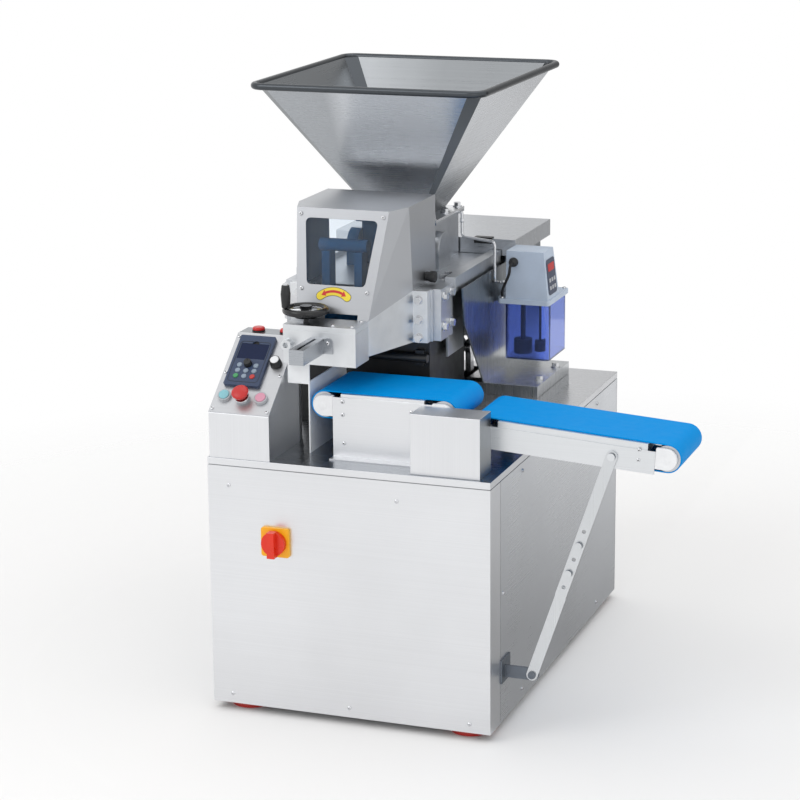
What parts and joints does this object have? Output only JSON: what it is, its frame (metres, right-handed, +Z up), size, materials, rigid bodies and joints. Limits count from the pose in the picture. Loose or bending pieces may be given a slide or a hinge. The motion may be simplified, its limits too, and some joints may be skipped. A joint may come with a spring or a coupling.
{
  "type": "dough divider",
  "caption": "Floor-standing dough divider with a funnel hopper, glazed measuring head, blue belt conveyors, slanted control box and lubrication pump on a stainless cabinet.",
  "frame": {"origin": "on the floor, under the middle of the whole machine's box", "axes": "+X to the right along the conveyors towards the outfeed's end, -Y out of the cabinet's front, +Z up"},
  "size_m": [1.08, 1.096, 1.356],
  "materials": {
    "stainless_bright": "fine brushed",
    "stainless_polished": "polished with a fine grain",
    "frame_steel": "satin grey",
    "foot_red": "satin red",
    "screw_steel": "bright",
    "yellow_plastic": "gloss",
    "red_plastic": "gloss",
    "keypad_dark": "fine matte",
    "key_rubber": "matte",
    "black_plastic": "matte",
    "button_blue": "gloss",
    "button_pink": "gloss",
    "switch_grey": "satin",
    "lamp_red": "gloss",
    "white_plastic": "satin",
    "belt_blue": "matte",
    "roller_steel": "turned",
    "motor_grey": "satin",
    "tinted_window": "clear and tinted",
    "cast_light": "fine blasted",
    "dark_steel": "oiled",
    "black_paint": "satin black",
    "pump_cap_grey": "fine matte",
    "tank_blue": "clear and tinted",
    "lead_black": "matte",
    "gear_green": "satin green"
  },
  "bodies": {
    "machine": {"base_frame": "frame_steel", "front_panel": "stainless_bright", "cabinet_panels": "stainless_polished", "top_tray": "stainless_polished", "feet": "foot_red", "panel_screws": "screw_steel", "isolator_base": "yellow_plastic", "control_box": "stainless_bright", "control_panel": "stainless_bright", "keypad_bezel": "keypad_dark", "key_mat": "key_rubber", "button_bodies": "switch_grey", "signal_lamps": "lamp_red", "infeed_frame": "stainless_bright", "infeed_end_caps": "white_plastic", "infeed_belt": "belt_blue", "drive_cover": "stainless_bright", "conveyor_motor": "motor_grey", "outfeed_brackets": "stainless_polished", "head_block": "stainless_bright", "scale_tube": "stainless_polished", "hood": "stainless_bright", "hood_window": "tinted_window", "head_casting": "cast_light", "chamber": "stainless_polished", "hopper": "stainless_polished", "rear_housing": "stainless_polished", "housing_lid": "stainless_polished", "hex_bolts": "screw_steel", "pedestal": "black_paint", "side_guard": "stainless_bright", "pump_cap": "pump_cap_grey", "pump_tank": "tank_blue", "oil_pipe": "screw_steel", "pump_lead": "lead_black", "gear_motor": "gear_green"},
    "isolator_knob": {"isolator_knob": "red_plastic"},
    "keypad_dial": {"keypad_dial": "black_plastic"},
    "start_button": {"start_button": "button_blue"},
    "stop_button": {"stop_button": "button_pink"},
    "estop_button": {"estop_button": "red_plastic"},
    "speed_knob": {"speed_knob": "black_plastic"},
    "infeed_drive": {"infeed_drive_roller": "roller_steel"},
    "infeed_idler": {"infeed_idler_roller": "roller_steel"},
    "motor_sprocket": {"motor_sprocket": "roller_steel"},
    "outfeed": {"outfeed_frame": "stainless_bright", "outfeed_end_caps": "white_plastic", "outfeed_belt": "belt_blue"},
    "outfeed_drive": {"outfeed_drive_roller": "roller_steel"},
    "outfeed_tail": {"outfeed_tail_roller": "roller_steel"},
    "strut_lower": {"strut_lower": "stainless_bright"},
    "strut_upper": {"strut_upper": "stainless_bright"},
    "stop_bar": {"stop_bar": "dark_steel"},
    "handwheel": {"handwheel": "black_plastic"},
    "handwheel_grip": {"handwheel_grip": "black_plastic"},
    "measuring_drum": {"measuring_drum": "dark_steel"},
    "ram": {"ram": "stainless_polished"},
    "crank": {"crank_disc": "dark_steel"},
    "connecting_rod": {"connecting_rod": "roller_steel"},
    "rocker": {"rocker": "dark_steel"}
  },
  "joints": [
    {"name": "isolator_turn", "type": "hinge", "parent": "machine", "child": "isolator_knob", "pos_m": [-0.33653, -0.521, 0.4065], "axis": [0, -1, 0], "range_deg": [0, 90]},
    {"name": "dial_turn", "type": "hinge", "parent": "machine", "child": "keypad_dial", "pos_m": [-0.43452, -0.41193, 0.77772], "axis": [0, -0.628, 0.7782], "range_deg": [-140, 140]},
    {"name": "start_press", "type": "slide", "parent": "machine", "child": "start_button", "axis": [0, 0.628, -0.7782], "range_m": [0, 0.003], "stiffness_N_per_m": 500},
    {"name": "stop_press", "type": "slide", "parent": "machine", "child": "stop_button", "axis": [0, 0.628, -0.7782], "range_m": [0, 0.003], "stiffness_N_per_m": 500},
    {"name": "estop_press", "type": "slide", "parent": "machine", "child": "estop_button", "axis": [0, 0.628, -0.7782], "range_m": [0, 0.005]},
    {"name": "speed_turn", "type": "hinge", "parent": "machine", "child": "speed_knob", "pos_m": [-0.37402, -0.40133, 0.7837], "axis": [0, -0.628, 0.7782], "range_deg": [-140, 140]},
    {"name": "infeed_drive_spin", "type": "hinge", "parent": "machine", "child": "infeed_drive", "pos_m": [0.01798, -0.318, 0.699], "axis": [0, 1, 0], "continuous": true},
    {"name": "infeed_idler_spin", "type": "hinge", "parent": "machine", "child": "infeed_idler", "pos_m": [-0.25603, -0.318, 0.699], "axis": [0, 1, 0], "continuous": true},
    {"name": "motor_spin", "type": "hinge", "parent": "machine", "child": "motor_sprocket", "pos_m": [0.06398, -0.446, 0.623], "axis": [0, 1, 0], "continuous": true},
    {"name": "outfeed_tilt", "type": "hinge", "parent": "machine", "child": "outfeed", "pos_m": [0.09997, -0.318, 0.671], "axis": [0, 1, 0], "range_deg": [-5, 5]},
    {"name": "outfeed_drive_spin", "type": "hinge", "parent": "machine", "child": "outfeed_drive", "pos_m": [0.09997, -0.318, 0.671], "axis": [0, 1, 0], "continuous": true},
    {"name": "outfeed_tail_spin", "type": "hinge", "parent": "outfeed", "child": "outfeed_tail", "pos_m": [0.50903, -0.318, 0.64311], "axis": [0, 1, 0], "continuous": true},
    {"name": "strut_foot_pivot", "type": "hinge", "parent": "machine", "child": "strut_lower", "pos_m": [0.22098, -0.4185, 0.134], "axis": [0, 1, 0], "range_deg": [-1, 1]},
    {"name": "strut_top_pivot", "type": "hinge", "parent": "outfeed", "child": "strut_upper", "pos_m": [0.39368, -0.4238, 0.64196], "axis": [0, 1, 0], "range_deg": [-5, 5]},
    {"name": "handwheel_turn", "type": "hinge", "parent": "machine", "child": "handwheel", "pos_m": [-0.30152, -0.395, 0.903], "axis": [0, 0, 1], "range_deg": [-88, 88]},
    {"name": "stop_bar_slide", "type": "slide", "parent": "machine", "child": "stop_bar", "axis": [0, 1, 0], "range_m": [-0.038, 0.038]},
    {"name": "grip_spin", "type": "hinge", "parent": "handwheel", "child": "handwheel_grip", "pos_m": [-0.33798, -0.42052, 0.935], "axis": [0, 0, 1], "continuous": true},
    {"name": "drum_turn", "type": "hinge", "parent": "machine", "child": "measuring_drum", "pos_m": [-0.25903, -0.269, 0.845], "axis": [-1, 0, 0], "range_deg": [0, 40]},
    {"name": "rocker_swing", "type": "hinge", "parent": "machine", "child": "rocker", "pos_m": [-0.25903, 0.36217, 0.68], "axis": [1, 0, 0], "range_deg": [0, 72]},
    {"name": "ram_slide", "type": "slide", "parent": "machine", "child": "ram", "axis": [0, -1, 0], "range_m": [0, 0.1765]},
    {"name": "crank_turn", "type": "hinge", "parent": "machine", "child": "crank", "pos_m": [-0.25102, 0.40586, 0.297], "axis": [1, 0, 0], "continuous": true},
    {"name": "rod_turn", "type": "hinge", "parent": "crank", "child": "connecting_rod", "pos_m": [-0.19503, 0.40586, 0.26526], "axis": [1, 0, 0], "continuous": true}
  ],
  "couplings": [
    {"joint": "infeed_idler_spin", "follows": "infeed_drive_spin", "ratio": 1},
    {"joint": "motor_spin", "follows": "infeed_drive_spin", "ratio": 1},
    {"joint": "outfeed_drive_spin", "follows": "infeed_drive_spin", "ratio": 1},
    {"joint": "outfeed_tail_spin", "follows": "infeed_drive_spin", "ratio": 1},
    {"joint": "strut_foot_pivot", "follows": "outfeed_tilt", "ratio": 0.1251},
    {"joint": "strut_top_pivot", "follows": "outfeed_tilt", "ratio": -0.8749},
    {"joint": "stop_bar_slide", "follows": "handwheel_turn", "m_per_rad": 0.0245},
    {"joint": "ram_slide", "follows": "rocker_swing", "m_per_rad": 0.14},
    {"joint": "rod_turn", "follows": "crank_turn", "ratio": -1}
  ]
}
